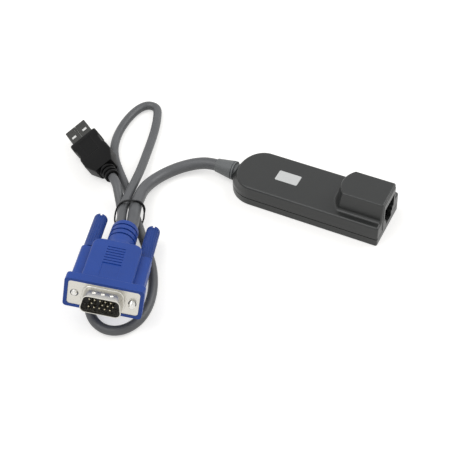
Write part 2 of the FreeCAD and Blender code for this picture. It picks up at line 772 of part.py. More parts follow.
def print_points(name, points):
    """Say where a cable runs."""
    print(name, " ".join("(%.2f, %.2f, %.2f)" % (p.x, p.y, p.z) for p in points))


def video_point(point):
    return place_point(point, VIDEO_ORIGIN, VIDEO_YAW, VIDEO_PITCH, VIDEO_ROLL)


def usb_point(point):
    return place_point(point, USB_ORIGIN, USB_YAW, USB_PITCH, USB_ROLL)


def cable_tie():
    """One closed ring of thin round tie, squared off round the bundle."""
    w = TIE_HALF_WIDTH
    h = TIE_HALF_HEIGHT
    r = TIE_CORNER
    k = r * (1.0 - math.sqrt(0.5))
    edges = [Part.makeLine(V(0, 0, h), V(w - r, 0, h))]
    for sx, sz in ((1, 1), (1, -1), (-1, -1), (-1, 1)):
        on_top = V(sx * (w - r), 0, sz * h)
        on_side = V(sx * w, 0, sz * (h - r))
        middle = V(sx * (w - k), 0, sz * (h - k))
        if sx * sz > 0:
            edges.append(Part.Arc(on_top, middle, on_side).toShape())
            edges.append(Part.makeLine(on_side, V(sx * w, 0, -sz * (h - r))))
        else:
            edges.append(Part.Arc(on_side, middle, on_top).toShape())
            edges.append(Part.makeLine(on_top, V(-sx * (w - r), 0, sz * h)))
    edges[-1] = Part.makeLine(V(-(w - r), 0, h), V(0, 0, h))
    path = Part.Wire(edges)
    section = Part.Wire([Part.Circle(V(0, 0, h), X_AXIS, TIE_R).toShape()])
    ring = path.makePipeShell([section], True, False)
    turn = FreeCAD.Rotation(Z_AXIS, TIE_TURN).multiply(FreeCAD.Rotation(X_AXIS, -TIE_LEAN))
    ring.Placement = FreeCAD.Placement(TIE_CENTRE, turn)
    return ring


# ================================================================= video plug
def d_prism(grow, y0, y1):
    """Rounded D outline, wide side down, grown by an offset and drawn out along y."""
    slope = math.tan(math.radians(SHROUD_SLOPE))
    middle = SHROUD_WIDE / 2.0 - SHROUD_HEIGHT / 2.0 * slope
    middle += grow / math.cos(math.radians(SHROUD_SLOPE))
    half = SHROUD_HEIGHT / 2.0 + grow
    corners = []
    for side, level in ((-1, -half), (1, -half), (1, half), (-1, half)):
        corners.append(V(side * (middle - level * slope), y0, level))
    corners.append(corners[0])
    block = Part.Face(Part.makePolygon(corners)).extrude(V(0, y1 - y0, 0))
    return block.makeFillet(SHROUD_R + grow, edges_along(block, Y_AXIS))


def flange_plate(y0, y1):
    """Flat sheet with rounded corners and the two screw holes."""
    plate = box(-FLANGE_WIDTH / 2.0, FLANGE_WIDTH / 2.0, y0, y1,
                -FLANGE_HEIGHT / 2.0, FLANGE_HEIGHT / 2.0)
    plate = plate.makeFillet(FLANGE_R, edges_along(plate, Y_AXIS))
    holes = []
    for side in (-1, 1):
        holes.append(rod(FLANGE_HOLE_R, V(side * SCREW_SPACING / 2.0, y0 - 1, 0), Y_AXIS, 4.0))
    return less(plate, holes)


def front_shell():
    """Flange with the drawn D shroud, its flared root and grounding dimples."""
    plate = flange_plate(0.0, SHEET)
    shroud = d_prism(0.0, -SHROUD_DEPTH, SHEET)
    shroud = shroud.makeFillet(0.15, edges_in_plane(shroud, Y_AXIS, -SHROUD_DEPTH))
    flare = d_prism(FLARE, -FLARE_DEPTH, SHEET / 2.0)
    flare = flare.makeFillet(FLARE_DEPTH * 0.8, edges_in_plane(flare, Y_AXIS, -FLARE_DEPTH))
    bumps = []
    for level in (-1, 1):
        for i in (-1, 0, 1):
            middle = V(i * DIMPLE_PITCH, DIMPLE_Y,
                       level * (SHROUD_HEIGHT / 2.0 + DIMPLE_RISE - DIMPLE_R))
            bumps.append(Part.makeSphere(DIMPLE_R, middle))
    body = fused([plate, shroud, flare] + bumps)
    return less(body, [d_prism(-SHROUD_WALL, -SHROUD_DEPTH - 1.0, SHEET + 1.0)])


def rear_shell():
    """Second sheet and the cup that closes the back of the insulator."""
    gap = SHROUD_WALL + FIT / 2.0
    plate = flange_plate(SHEET, 2.0 * SHEET)
    cup = d_prism(0.0, SHEET, 6.9)
    body = fused([plate, cup])
    return less(body, [d_prism(-gap, 0.0, 6.5), d_prism(-1.8, 6.0, 8.0)])


def pin_places():
    """Centres of the pins: three rows of five, the middle row set over."""
    places = []
    for row, shift in ((1, -PIN_PITCH / 4.0), (0, PIN_PITCH / 4.0), (-1, -PIN_PITCH / 4.0)):
        for i in range(PIN_ROW_COUNT):
            if row == 0 and i == 1:
                continue                      # the ninth position carries no pin
            x = (i - (PIN_ROW_COUNT - 1) / 2.0) * PIN_PITCH + shift
            places.append((x, row * ROW_PITCH))
    return places


def pins():
    """All the pins of the video plug, one node."""
    rods = []
    for x, z in pin_places():
        pin = rod(PIN_R, V(x, PIN_TIP_Y, z), Y_AXIS, PIN_TAIL_Y - PIN_TIP_Y)
        rods.append(pin.makeChamfer(PIN_R * 0.5, edges_in_plane(pin, Y_AXIS, PIN_TIP_Y)))
    return Part.makeCompound(rods)


def insulator():
    """Black block that holds the pins."""
    block = d_prism(-SHROUD_WALL - FIT, -0.8, 6.5)
    holes = []
    for x, z in pin_places():
        holes.append(rod(PIN_R, V(x, -2.0, z), Y_AXIS, 10.0))
    return less(block, holes)


def hood():
    """Moulded cover: front band, body with grips, screw channels, ribbed tail."""
    band = box(-HOOD_HALF_WIDTH, HOOD_HALF_WIDTH, -HOOD_RIM, HOOD_BAND,
               -HOOD_HALF_HEIGHT, HOOD_HALF_HEIGHT)
    band = band.makeFillet(HOOD_CORNER_R, edges_along(band, Y_AXIS))
    band = band.makeFillet(0.6, edges_in_plane(band, Y_AXIS, HOOD_BAND))
    body = box(-BODY_HALF_WIDTH, BODY_HALF_WIDTH, HOOD_BAND - 1.5, BODY_END_Y,
               -BODY_HALF_HEIGHT, BODY_HALF_HEIGHT)
    rear = [e for e in edges_along(body, Z_AXIS) if e.Vertexes[0].Y > HOOD_BAND]
    body = body.makeFillet(BODY_CORNER_R, rear)
    body = body.makeFillet(0.9, edges_in_plane(body, Z_AXIS, BODY_HALF_HEIGHT)
                           + edges_in_plane(body, Z_AXIS, -BODY_HALF_HEIGHT))
    pieces = [band, body] + channels() + [tail()]
    outer = fused(pieces)
    return less(outer, grip_cutters() + inside_cutters())


def channels():
    """The two side channels the thumbscrews run in, with their collars."""
    pieces = []
    for side in (-1, 1):
        axis_x = side * SCREW_SPACING / 2.0
        edge_x = axis_x + side * CHANNEL_OUT
        x0 = min(edge_x, side * (BODY_HALF_WIDTH - 1.0))
        x1 = max(edge_x, side * (BODY_HALF_WIDTH - 1.0))
        bar = box(x0, x1, HOOD_BAND - 1.5, CHANNEL_END_Y, -CHANNEL_HALF_HEIGHT,
                  CHANNEL_HALF_HEIGHT)
        outer = [e for e in edges_along(bar, Y_AXIS) if abs(e.Vertexes[0].X - edge_x) < 0.01]
        bar = bar.makeFillet(CHANNEL_R, outer)
        collar = rod(COLLAR_R, V(axis_x, CHANNEL_END_Y - 1.0, 0), Y_AXIS,
                     COLLAR_END_Y - CHANNEL_END_Y + 1.0)
        pieces += [bar, collar]
    return pieces


def tail():
    """Round strain relief of the hood, three ring grooves near its end."""
    start = V(0, BODY_END_Y - 4.0, 0)
    flare = Part.makeCone(TAIL_ROOT_R, TAIL_R, TAIL_START_Y - BODY_END_Y + 4.0, start, Y_AXIS)
    sleeve = Part.makeCone(TAIL_R, TAIL_TIP_R, TAIL_END_Y - TAIL_START_Y,
                           V(0, TAIL_START_Y, 0), Y_AXIS)
    sleeve = sleeve.makeFillet(0.7, edges_in_plane(sleeve, Y_AXIS, TAIL_END_Y))
    grooves = []
    for y in TAIL_GROOVES_Y:
        ring = rod(TAIL_R + 1.0, V(0, y - TAIL_GROOVE_WIDTH / 2.0, 0), Y_AXIS,
                   TAIL_GROOVE_WIDTH)
        core = rod(TAIL_TIP_R - TAIL_GROOVE_DEPTH, V(0, y - TAIL_GROOVE_WIDTH, 0), Y_AXIS,
                   2.0 * TAIL_GROOVE_WIDTH)
        bridge = box(-9, 9, y - TAIL_GROOVE_WIDTH, y + TAIL_GROOVE_WIDTH, -1.2, 1.2)
        grooves.append(ring.cut(core).cut(bridge))
    return fused([flare, less(sleeve, grooves)])


def grip_cutters():
    """Finger grooves and the shallow panel below them, on both broad faces."""
    cutters = []
    for level in (-1, 1):
        face = level * BODY_HALF_HEIGHT
        z0 = min(face - level * GRIP_DEPTH, face + level)
        z1 = max(face - level * GRIP_DEPTH, face + level)
        for i in range(GRIP_COUNT):
            y = GRIP_START_Y + i * GRIP_PITCH
            cutters.append(box(-GRIP_HALF, GRIP_HALF, y - GRIP_WIDTH / 2.0,
                               y + GRIP_WIDTH / 2.0, z0, z1))
        p0 = min(face - level * PANEL_DEPTH, face + level)
        p1 = max(face - level * PANEL_DEPTH, face + level)
        cutters.append(box(-GRIP_HALF, GRIP_HALF, PANEL_START_Y,
                           GRIP_START_Y, p0, p1))
    return cutters


def inside_cutters():
    """Pockets for the sheets, the cup, the pin tails, the screws and the cables."""
    seat = box(-FLANGE_WIDTH / 2.0 - FIT, FLANGE_WIDTH / 2.0 + FIT, -HOOD_RIM - 1.0,
               2.0 * SHEET, -FLANGE_HEIGHT / 2.0 - FIT, FLANGE_HEIGHT / 2.0 + FIT)
    seat = seat.makeFillet(FLANGE_R + FIT, edges_along(seat, Y_AXIS))
    cup = d_prism(FIT, 0.0, 7.0)
    tails = box(-6.6, 6.6, 6.0, 12.0, -3.4, 3.4)
    cutters = [seat, cup, tails]
    for side in (-1, 1):
        start = V(side * SCREW_SPACING / 2.0, -1.0, 0)
        cutters.append(rod(SHANK_R + SHANK_CLEARANCE, start, Y_AXIS, COLLAR_END_Y + 2.0))
        neck_y = KNOB_START_Y - KNOB_NECK - KNOB_GAP
        cutters.append(rod(KNOB_NECK_R + KNOB_GAP, V(start.x, neck_y, 0), Y_AXIS,
                           BODY_END_Y - neck_y))
        cutters.append(rod(KNOB_R + KNOB_GAP, V(start.x, COLLAR_END_Y, 0), Y_AXIS,
                           BODY_END_Y - COLLAR_END_Y))
    for x, radius in ((VIDEO_EXIT_X, VIDEO_CABLE_R), (USB_EXIT_X, USB_CABLE_R)):
        cutters.append(rod(radius, V(x, TAIL_END_Y - CABLE_GRIP, 0), Y_AXIS, CABLE_GRIP + 1.0))
    return cutters


def shank(side, tip_y):
    """Metal screw: threaded nose, then the plain shank into the knob."""
    x = side * SCREW_SPACING / 2.0
    nose = rod(THREAD_R, V(x, tip_y, 0), Y_AXIS, THREAD_LENGTH)
    nose = nose.makeChamfer(0.35, edges_in_plane(nose, Y_AXIS, tip_y))
    end_y = tip_y + SCREW_LENGTH - KNOB_LENGTH + SHANK_IN_KNOB
    plain_y = tip_y + THREAD_LENGTH
    plain = rod(SHANK_R, V(x, plain_y, 0), Y_AXIS, end_y - plain_y)
    return fused([nose, plain])


def knob(side, tip_y):
    """Moulded knob with lengthwise ribs and a driver slot across its end."""
    x = side * SCREW_SPACING / 2.0
    end_y = tip_y + SCREW_LENGTH
    start_y = end_y - KNOB_LENGTH
    body = rod(KNOB_R, V(x, start_y, 0), Y_AXIS, KNOB_LENGTH)
    body = body.makeFillet(0.5, edges_in_plane(body, Y_AXIS, end_y))
    neck = rod(KNOB_NECK_R, V(x, start_y - KNOB_NECK, 0), Y_AXIS, KNOB_NECK + 1.0)
    body = body.fuse(neck)
    cutters = []
    for i in range(KNOB_RIBS):
        angle = 2.0 * math.pi * (i + 0.5) / KNOB_RIBS
        reach = KNOB_R + KNOB_GROOVE_R * 0.35
        start = V(x + reach * math.cos(angle), start_y + KNOB_PLAIN_END, reach * math.sin(angle))
        cutters.append(rod(KNOB_GROOVE_R, start, Y_AXIS, KNOB_LENGTH - 2.0 * KNOB_PLAIN_END))
    cutters.append(box(x - KNOB_SLOT / 2.0, x + KNOB_SLOT / 2.0, end_y - KNOB_SLOT_DEPTH,
                       end_y + 1.0, -KNOB_R - 1.0, KNOB_R + 1.0))
    shank_room = KNOB_NECK + 1.0
    cutters.append(rod(SHANK_R, V(x, start_y - shank_room, 0), Y_AXIS,
                       SHANK_IN_KNOB + shank_room))
    return less(body, cutters)


# ================================================================= usb plug
def usb_shell():
    """Folded sheet box with latch windows and the folding seam."""
    outer = box(-USB_WIDTH / 2.0, USB_WIDTH / 2.0, 0, USB_SHELL_LENGTH,
                -USB_HEIGHT / 2.0, USB_HEIGHT / 2.0)
    outer = outer.makeFillet(0.5, edges_along(outer, Y_AXIS))
    inner = box(-USB_WIDTH / 2.0 + USB_SHEET, USB_WIDTH / 2.0 - USB_SHEET, -1.0,
                USB_SHELL_LENGTH + 1.0, -USB_HEIGHT / 2.0 + USB_SHEET,
                USB_HEIGHT / 2.0 - USB_SHEET)
    cutters = [inner]
    for side in (-1, 1):
        x = side * WINDOW_X
        cutters.append(box(x - WINDOW_WIDTH / 2.0, x + WINDOW_WIDTH / 2.0,
                           WINDOW_Y - WINDOW_LENGTH / 2.0, WINDOW_Y + WINDOW_LENGTH / 2.0,
                           -USB_HEIGHT, USB_HEIGHT))
    neck = SEAM_NECK / 2.0
    head = SEAM_HEAD / 2.0
    line = [(0, -1.0), (0, SEAM_LOCK_Y - neck), (SEAM_LOCK_REACH, SEAM_LOCK_Y - head),
            (SEAM_LOCK_REACH, SEAM_LOCK_Y + head), (0, SEAM_LOCK_Y + neck),
            (0, USB_SHELL_LENGTH - 2.0)]
    for start, end in zip(line, line[1:]):
        cutters.append(slit(start, end))
    return less(outer, cutters)


def slit(start, end):
    """One straight stretch of the seam, cut through the upper sheet."""
    run = V(end[0] - start[0], end[1] - start[1], 0)
    blade = Part.makeBox(run.Length + SEAM, SEAM, USB_HEIGHT, V(-SEAM / 2.0, -SEAM / 2.0, 0))
    turn = FreeCAD.Rotation(X_AXIS, run)
    blade.Placement = FreeCAD.Placement(V(start[0], start[1], 0), turn)
    return blade


def usb_tongue():
    """White insulator under the seam side, with slots for the four pads."""
    top = USB_HEIGHT / 2.0 - USB_SHEET
    half = USB_WIDTH / 2.0 - USB_SHEET - FIT / 2.0
    block = box(-half, half, TONGUE_START_Y, TONGUE_END_Y, top - TONGUE_THICK, top)
    return less(block, usb_pads())


def usb_pads():
    """Four contact strips on the tongue; the outer two reach further out."""
    level = USB_HEIGHT / 2.0 - USB_SHEET - TONGUE_THICK
    strips = []
    for x in USB_PAD_X:
        start = TONGUE_START_Y + (0.5 if abs(x) > 2.0 else 1.5)
        strips.append(box(x - USB_PAD_WIDTH / 2.0, x + USB_PAD_WIDTH / 2.0, start,
                          TONGUE_END_Y - 0.5, level, level + USB_PAD_THICK))
    return strips


def section_at(y, width, height, corner):
    """Rounded rectangle across the usb plug."""
    face = box(-width / 2.0, width / 2.0, y, y + 1.0, -height / 2.0, height / 2.0)
    face = face.makeFillet(corner, edges_along(face, Y_AXIS))
    for side in face.Faces:
        if abs(side.CenterOfMass.y - y) < 1e-6:
            return side.OuterWire
    return None


def usb_overmould():
    """Black grip moulded on the shell and the cable, ringed tail."""
    front = section_at(MOULD_START_Y, MOULD_WIDTH, MOULD_HEIGHT, MOULD_R)
    shoulder = section_at(MOULD_SHOULDER_Y, MOULD_WIDTH, MOULD_HEIGHT, MOULD_R)
    back = section_at(MOULD_END_Y, MOULD_END_WIDTH, MOULD_END_HEIGHT, MOULD_R)
    grip = Part.makeLoft([front, shoulder], True, True)
    taper = Part.makeLoft([shoulder, back], True, True)
    body = fused([grip, taper])
    body = body.makeFillet(0.5, edges_in_plane(body, Y_AXIS, MOULD_START_Y))
    pieces = [body, rod(USB_CORE_R, V(0, MOULD_END_Y - 2.0, 0), Y_AXIS,
                        USB_END_Y - MOULD_END_Y + 2.0)]
    for i in range(USB_RING_COUNT):
        ring_y = USB_END_Y - USB_RING_WIDTH - (USB_RING_COUNT - 1 - i) * USB_RING_PITCH
        ring = rod(USB_RING_R - i * USB_RING_STEP, V(0, ring_y, 0), Y_AXIS, USB_RING_WIDTH)
        rims = edges_in_plane(ring, Y_AXIS, ring_y)
        rims += edges_in_plane(ring, Y_AXIS, ring_y + USB_RING_WIDTH)
        pieces.append(ring.makeFillet(0.35, rims))
    body = fused(pieces)
    pocket = box(-USB_WIDTH / 2.0, USB_WIDTH / 2.0, MOULD_START_Y - 1.0, USB_SHELL_LENGTH,
                 -USB_HEIGHT / 2.0, USB_HEIGHT / 2.0)
    pocket = pocket.makeFillet(0.5, edges_along(pocket, Y_AXIS))
    held = rod(USB_CABLE_R, V(0, USB_END_Y - CABLE_GRIP, 0), Y_AXIS, CABLE_GRIP + 1.0)
    return less(body, [pocket, held])


# ================================================================= write every node
def video_placed(shape):
    return placed(shape, VIDEO_ORIGIN, VIDEO_YAW, VIDEO_PITCH, VIDEO_ROLL)


def usb_placed(shape):
    return placed(shape, USB_ORIGIN, USB_YAW, USB_PITCH, USB_ROLL)


save("lower_shell", lower_shell())
save("upper_shell", upper_shell())
save("badge_plate", badge_block(DECK_Z - BADGE_THICK + BADGE_PROUD, DECK_Z + BADGE_PROUD))
save("circuit_board", circuit_board())
save("network_jack", network_jack())
save("jack_contacts", Part.makeCompound([contact_wire(i, 0.0) for i in range(CONTACT_COUNT)]))
save("controller_chip", chip(CHIP_X, CHIP_LENGTH, CHIP_WIDTH, CHIP_HEIGHT,
                             CHIP_LEAD_COUNT, CHIP_LEAD_PITCH))
save("video_buffer_chip", chip(BUFFER_X, BUFFER_LENGTH, BUFFER_WIDTH, BUFFER_HEIGHT,
                               BUFFER_LEAD_COUNT, BUFFER_LEAD_PITCH))
save("clock_crystal", crystal())
save("board_capacitors", capacitors())
save("wire_header", wire_header())
relief, relief_end_x = housing_relief()
save("housing_strain_relief", relief)
save("video_cable", video_cable(relief_end_x))
save("usb_cable", usb_cable())
save("cable_tie", cable_tie())
save("video_hood", video_placed(hood()))
save("video_front_shell", video_placed(front_shell()))
save("video_rear_shell", video_placed(rear_shell()))
save("video_insulator", video_placed(insulator()))
save("video_pins", video_placed(pins()))
save("left_screw_knob", video_placed(knob(-1, LEFT_TIP_Y)))
save("right_screw_knob", video_placed(knob(1, RIGHT_TIP_Y)))
save("left_screw_shank", video_placed(shank(-1, LEFT_TIP_Y)))
save("right_screw_shank", video_placed(shank(1, RIGHT_TIP_Y)))
save("usb_overmould", usb_placed(usb_overmould()))
save("usb_shell", usb_placed(usb_shell()))
save("usb_tongue", usb_placed(usb_tongue()))
save("usb_contacts", usb_placed(Part.makeCompound(usb_pads())))
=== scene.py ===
import json
import math
import bmesh
import bpy
from mathutils import Matrix, Vector


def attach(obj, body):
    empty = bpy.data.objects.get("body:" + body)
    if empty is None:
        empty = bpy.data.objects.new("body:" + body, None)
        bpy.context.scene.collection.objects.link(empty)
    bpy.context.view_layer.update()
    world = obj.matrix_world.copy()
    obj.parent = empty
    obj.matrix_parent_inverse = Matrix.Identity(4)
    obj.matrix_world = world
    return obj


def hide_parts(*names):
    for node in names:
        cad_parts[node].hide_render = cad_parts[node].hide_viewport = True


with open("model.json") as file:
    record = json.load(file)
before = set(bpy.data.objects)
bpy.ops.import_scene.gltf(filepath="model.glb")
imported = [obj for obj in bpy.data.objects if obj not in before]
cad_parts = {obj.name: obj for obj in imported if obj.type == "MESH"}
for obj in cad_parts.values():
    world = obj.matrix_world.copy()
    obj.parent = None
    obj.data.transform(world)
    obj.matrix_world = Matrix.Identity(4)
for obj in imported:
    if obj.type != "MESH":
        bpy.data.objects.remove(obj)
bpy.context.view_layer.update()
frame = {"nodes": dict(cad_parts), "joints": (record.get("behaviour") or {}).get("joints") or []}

# ---- Camera
# Looks down on the adapter from the socket side, the plugs to the left, through a
# long lens that keeps the shapes square.
MM = 0.001
AZIMUTH = math.radians(28.963)
ELEVATION = math.radians(46.392)
ROLL = math.radians(3.213)
DISTANCE = 512.41 * MM
TARGET = Vector((-30.638, -30.141, 0.0)) * MM
LENS_MM = 86.71
SENSOR_MM = 36.0
NEAREST = 10.0 * MM

back = Vector((math.sin(AZIMUTH) * math.cos(ELEVATION),
               -math.cos(AZIMUTH) * math.cos(ELEVATION), math.sin(ELEVATION)))
right = Vector((math.cos(AZIMUTH), math.sin(AZIMUTH), 0.0))
up = back.cross(right)
across = right * math.cos(ROLL) - up * math.sin(ROLL)
upright = right * math.sin(ROLL) + up * math.cos(ROLL)
camera_data = bpy.data.cameras.new("camera")
camera_data.lens = LENS_MM
camera_data.sensor_width = SENSOR_MM
camera_data.clip_start = NEAREST
camera = bpy.data.objects.new("camera", camera_data)
bpy.context.scene.collection.objects.link(camera)
camera.matrix_world = (Matrix.Translation(TARGET + back * DISTANCE)
                       @ Matrix((across, upright, back)).transposed().to_4x4())
bpy.context.scene.camera = camera

# ---- Video cable
# Soft grey vinyl sheath over fifteen cores, 5.9 mm thick. It leaves the housing's strain
# relief, bends once on the table and climbs through the tie into the video plug.
VIDEO_CABLE_WIDE = 5.9 * MM
VIDEO_ROUTE = [
    (-47.0, 0.0, 5.6), (-53.2, 0.0, 5.6), (-60.0, -2.2, 4.7), (-66.5, -7.4, 4.0),
    (-71.3, -14.2, 3.8), (-74.1, -22.2, 4.5), (-74.3, -30.6, 6.2), (-72.2, -38.2, 8.0),
    (-69.6, -46.2, 9.2), (-65.83, -54.58, 8.74), (-62.69, -63.03, 10.57),
]
SHEATH_GREY = (0.1, 0.103, 0.108)
# How often the vinyl's colour drift, scuffs and orange peel repeat in a metre
SHEATH_DRIFT, SHEATH_SCUFF, SHEATH_PEEL = 90.0, 700.0, 1900.0
PEEL_DEPTH = 0.04 * MM


def new_finish(name, colour, roughness, metallic=0.0, gloss=0.5):
    """A material with its shader, ready for the surface's own detail."""
    material = bpy.data.materials.new(name)
    material.use_nodes = True
    shader = material.node_tree.nodes["Principled BSDF"]
    shader.inputs["Base Color"].default_value = (*colour, 1.0)
    shader.inputs["Roughness"].default_value = roughness
    shader.inputs["Metallic"].default_value = metallic
    shader.inputs["Specular IOR Level"].default_value = gloss
    return material


def add_node(holder, kind, inputs=(), **settings):
    """One shader node with its settings, and its inputs linked or set."""
    tree = holder.node_tree
    node = tree.nodes.new("ShaderNode" + kind)
    for key, value in settings.items():
        setattr(node, key, value)
    for key, value in dict(inputs).items():
        if isinstance(value, bpy.types.NodeSocket):
            tree.links.new(value, node.inputs[key])
        else:
            node.inputs[key].default_value = value
    return node


def place(material, scale=(1, 1, 1)):
    """Object coordinates, stretched to lie along a piece."""
    coordinates = add_node(material, "TexCoord").outputs["Object"]
    return add_node(material, "Mapping", {"Vector": coordinates,
                                          "Scale": scale}).outputs["Vector"]


def noise(material, vector, per_metre, detail=3.0, rough=0.5):
    """A cloudy pattern that repeats so often in a metre."""
    return add_node(material, "TexNoise", {"Vector": vector, "Scale": per_metre,
                                           "Detail": detail,
                                           "Roughness": rough}).outputs["Fac"]


def spread(material, value, low, high, from_low=0.3, from_high=0.7):
    """Stretch a pattern's middle range between two values."""
    return add_node(material, "MapRange", {"Value": value, "From Min": from_low,
                                           "From Max": from_high, "To Min": low,
                                           "To Max": high}).outputs["Result"]


def mottle(material, value, dark, light):
    """Colour that drifts between two shades."""
    return add_node(material, "Mix", {"Factor": value, "A": (*dark, 1.0),
                                      "B": (*light, 1.0)},
                    data_type="RGBA").outputs["Result"]


def relief_of(material, height, depth, strength):
    """Surface relief of a given depth in metres."""
    return add_node(material, "Bump", {"Height": height, "Distance": depth,
                                       "Strength": strength}).outputs["Normal"]


def plug_in(material, socket, output):
    """Let a pattern drive one of the finish's own values."""
    shader = material.node_tree.nodes["Principled BSDF"]
    material.node_tree.links.new(output, shader.inputs[socket])


def shade(colour, amount):
    """The same colour, darker or lighter."""
    return tuple(channel * amount for channel in colour)


def vinyl_sheath(name, colour, roughness):
    """Extruded vinyl: even colour with slow drift, faint orange peel and scuffs."""
    material = new_finish(name, colour, roughness)
    vector = place(material)
    drift = noise(material, vector, SHEATH_DRIFT, 4.0)
    plug_in(material, "Base Color", mottle(material, spread(material, drift, 0, 1),
                                           shade(colour, 0.9), shade(colour, 1.1)))
    scuff = noise(material, vector, SHEATH_SCUFF, 5.0, 0.6)
    plug_in(material, "Roughness", spread(material, scuff, roughness - 0.06,
                                          roughness + 0.08))
    peel = noise(material, vector, SHEATH_PEEL, 2.0)
    plug_in(material, "Normal", relief_of(material, peel, PEEL_DEPTH, 0.35))
    return material


def cable_along(name, points, wide, material):
    """A round cable whose middle line is one smooth curve along the route."""
    curve = bpy.data.curves.new(name, "CURVE")
    curve.dimensions = "3D"
    curve.bevel_depth = wide / 2.0
    curve.bevel_resolution = 8
    curve.resolution_u = 16
    curve.use_fill_caps = True
    line = curve.splines.new("NURBS")
    line.points.add(len(points) - 1)
    for point, place_mm in zip(line.points, points):
        point.co = (*(Vector(place_mm) * MM), 1.0)
    line.order_u = 3
    line.use_endpoint_u = True
    curve.materials.append(material)
    cable = bpy.data.objects.new(name, curve)
    bpy.context.scene.collection.objects.link(cable)
    return cable


sheath = vinyl_sheath("cable_sheath", SHEATH_GREY, roughness=0.42)
video_cord = cable_along("video_cord", VIDEO_ROUTE, VIDEO_CABLE_WIDE, sheath)
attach(video_cord, "adapter")
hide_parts("video_cable")

# ---- Usb cable
# The thinner cable, 4.4 mm, of the same vinyl. It turns round two loops, a tight one
# beyond the plugs and a round one under the video plug, both held by the tie.
USB_CABLE_WIDE = 4.4 * MM
USB_ROUTE = [
    (-67.92, -64.77, 11.52), (-70.99, -56.51, 9.74), (-75.5, -47.2, 8.8),
    (-78.0, -38.0, 8.0), (-80.6, -27.2, 6.3), (-83.5, -16.4, 4.7), (-87.1, -4.6, 3.5),
    (-90.3, 6.2, 2.7), (-93.6, 16.0, 2.4), (-97.2, 24.4, 2.3), (-100.3, 29.3, 2.3),
    (-105.8, 29.3, 2.3), (-109.0, 24.2, 2.3), (-110.0, 14.6, 2.3), (-108.9, 3.8, 2.3),
    (-105.7, -6.2, 2.3), (-100.2, -14.5, 2.3), (-92.8, -22.0, 2.3), (-84.9, -29.5, 2.3),
    (-77.4, -37.3, 2.4), (-70.7, -45.1, 3.7), (-64.0, -52.4, 3.7), (-55.6, -60.8, 2.4),
    (-47.4, -69.8, 2.3), (-41.2, -80.2, 2.3), (-37.9, -90.2, 2.3), (-37.7, -99.4, 2.3),
    (-41.6, -106.8, 2.3), (-48.4, -109.8, 2.3), (-55.8, -107.8, 2.3), (-61.8, -102.2, 2.3),
    (-65.2, -93.8, 2.3), (-66.5, -84.4, 2.3), (-67.2, -74.8, 2.3), (-68.8, -65.4, 2.3),
    (-71.6, -56.8, 2.7), (-75.2, -49.8, 3.6), (-79.0, -44.0, 4.3), (-83.3, -38.6, 7.1),
    (-86.89, -34.19, 9.7), (-92.96, -29.99, 9.12),
]

usb_cord = cable_along("usb_cord", USB_ROUTE, USB_CABLE_WIDE, sheath)
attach(usb_cord, "adapter")
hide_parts("usb_cable")

# ---- Housing shells
# Two mouldings in dark grey plastic with a fine spark-eroded grain, snapped together
# along the side groove. Their upper edges are painted lighter, a painted highlight that
# also stands for a little wear from handling.
HOUSING_GREY = (0.0178, 0.019, 0.0186)
nodes = frame["nodes"]
PLASTIC_DRIFT = 60.0
# Heights between which the painted edge highlight sets in, above the groove
EDGE_HIGHLIGHT_FROM, EDGE_HIGHLIGHT_TO = 8.0 * MM, 10.0 * MM


def grained_plastic(name, colour, grain_mm, depth_mm, roughness, edge_mm=0.5,
                    edge_light=1.5, gloss=0.5):
    """Moulded plastic with the mould's grain, slow shade drift and edges painted lighter, a
    painted highlight that also stands for wear from handling.
    """
    material = new_finish(name, colour, roughness, gloss=gloss)
    vector = place(material)
    grain = noise(material, vector, 1.0 / (grain_mm * MM), 2.0, 0.6)
    drift = noise(material, vector, PLASTIC_DRIFT, 4.0)
    softened = add_node(material, "Bevel", {"Radius": edge_mm * MM},
                        samples=8).outputs["Normal"]
    facing = add_node(material, "NewGeometry").outputs["Normal"]
    flatness = add_node(material, "VectorMath", {0: softened, 1: facing},
                        operation="DOT_PRODUCT").outputs["Value"]
    height = add_node(material, "SeparateXYZ", {0: vector}).outputs["Z"]
    # Painted highlight: convex and concave edges are painted lighter, only above the groove; on
    # the upper convex edges it also stands for wear from handling.
    highlight_and_wear_mask = add_node(material, "Math", {
        0: spread(material, flatness, 1.0, 0.0, 0.8, 0.999),
        1: spread(material, height, 0.0, 1.0, EDGE_HIGHLIGHT_FROM, EDGE_HIGHLIGHT_TO)},
        operation="MULTIPLY").outputs["Value"]
    body = mottle(material, spread(material, drift, 0, 1), shade(colour, 0.93),
                  shade(colour, 1.07))
    tinted = add_node(material, "Mix", {"Factor": highlight_and_wear_mask, "A": body,
                                        "B": (*shade(colour, edge_light), 1.0)},
                      data_type="RGBA").outputs["Result"]
    speckle = spread(material, grain, 0.9, 1.1)
    coloured = add_node(material, "VectorMath", {0: tinted, "Scale": speckle},
                        operation="SCALE").outputs["Vector"]
    plug_in(material, "Base Color", coloured)
    plug_in(material, "Roughness", spread(material, grain, roughness - 0.06,
                                          roughness + 0.06))
    plug_in(material, "Normal", relief_of(material, grain, depth_mm * MM, 0.5))
    return material


def dress(node, material):
    """Give a frame node its finish."""
    piece = nodes[node]
    if not piece.material_slots:
        piece.data.materials.append(material)
    for holder in piece.material_slots:
        holder.link = "OBJECT"
        holder.material = material


# Painted highlight: the housing's edges and fillets are painted 2.6 times lighter.
housing_finish = grained_plastic("housing_plastic", HOUSING_GREY, grain_mm=0.28,
                                 depth_mm=0.03, roughness=0.36, edge_mm=1.6,
                                 edge_light=2.6, gloss=0.52)
dress("upper_shell", housing_finish)
dress("lower_shell", housing_finish)

# ---- Badge
# Bare name plate of satin aluminium, blanked from brushed sheet with small round
# corners and stuck in a shallow recess of the deck.
BADGE_SILVER = (0.6, 0.61, 0.605)


